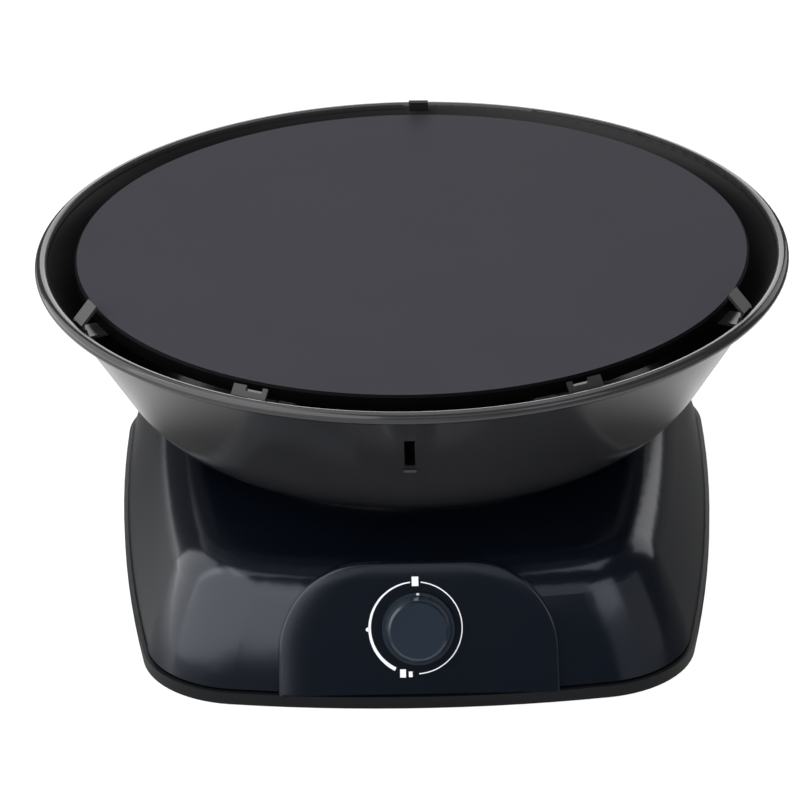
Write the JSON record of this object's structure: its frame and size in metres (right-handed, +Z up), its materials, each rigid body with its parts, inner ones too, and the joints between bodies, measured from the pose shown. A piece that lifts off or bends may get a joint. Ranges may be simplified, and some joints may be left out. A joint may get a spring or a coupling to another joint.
{
  "type": "table-top griddle grill",
  "caption": "Table-top gas griddle: a round flat plate laid over a flared open bowl, on a moulded base with a sloping console, control knob and burner.",
  "frame": {"origin": "on the floor, under the middle of the overall box", "axes": "+Z up, -Y out of the front where the knob is, +X to the right of someone facing the knob"},
  "size_m": [0.39, 0.3989, 0.1696],
  "materials": {
    "plate": "matt non-stick coat",
    "bowl": "gloss enamel",
    "bracket": "gloss enamel",
    "cover": "gloss",
    "tray": "fine texture",
    "knob": "satin",
    "steel": "zinc plated",
    "brass": "machined",
    "burner": "cast",
    "cap": "black enamel",
    "shield": "pressed sheet",
    "pipe": "drawn tube",
    "ceramic": "glazed ceramic",
    "case": "plain",
    "lead": "silicone sheath",
    "rubber": "matt"
  },
  "bodies": {
    "base": {"base_tray": "tray", "base_cover": "cover", "rubber_feet": "rubber", "cover_screws": "steel", "heat_shield": "shield", "shield_screws": "steel", "burner_head": "burner", "burner_cap": "cap", "burner_stand": "steel", "stand_screws": "steel", "mixer_tube": "steel", "injector": "brass", "gas_valve_body": "brass", "valve_bracket": "steel", "valve_screws": "steel", "piezo_igniter": "case", "igniter_lead": "lead", "electrode_insulator": "ceramic", "spark_electrode": "steel", "electrode_bracket": "steel", "gas_pipe": "pipe", "gas_inlet": "brass", "inlet_nut": "brass"},
    "plunger": {"thrust_washer": "steel"},
    "knob": {"control_knob": "knob", "valve_stem": "brass"},
    "bowl": {"bowl": "bowl", "rear_plate_bracket": "bracket", "left_plate_bracket": "bracket", "right_plate_bracket": "bracket", "left_front_rest": "bracket", "right_front_rest": "bracket"},
    "plate": {"griddle_plate": "plate"}
  },
  "joints": [
    {"name": "knob_push", "type": "slide", "parent": "base", "child": "plunger", "axis": [0, 0.9272, -0.3746], "range_m": [0, 0.0025], "stiffness_N_per_m": 1200, "springref_m": -0.002},
    {"name": "knob_turn", "type": "hinge", "parent": "plunger", "child": "knob", "pos_m": [0, -0.18113, 0.04029], "axis": [0, -0.9272, 0.3746], "range_deg": [0, 170]},
    {"name": "bowl_lift", "type": "slide", "parent": "base", "child": "bowl", "axis": [0, 0, 1], "range_m": [0, 0.12]},
    {"name": "plate_lift", "type": "slide", "parent": "bowl", "child": "plate", "axis": [0, 0, 1], "range_m": [0, 0.08]}
  ]
}
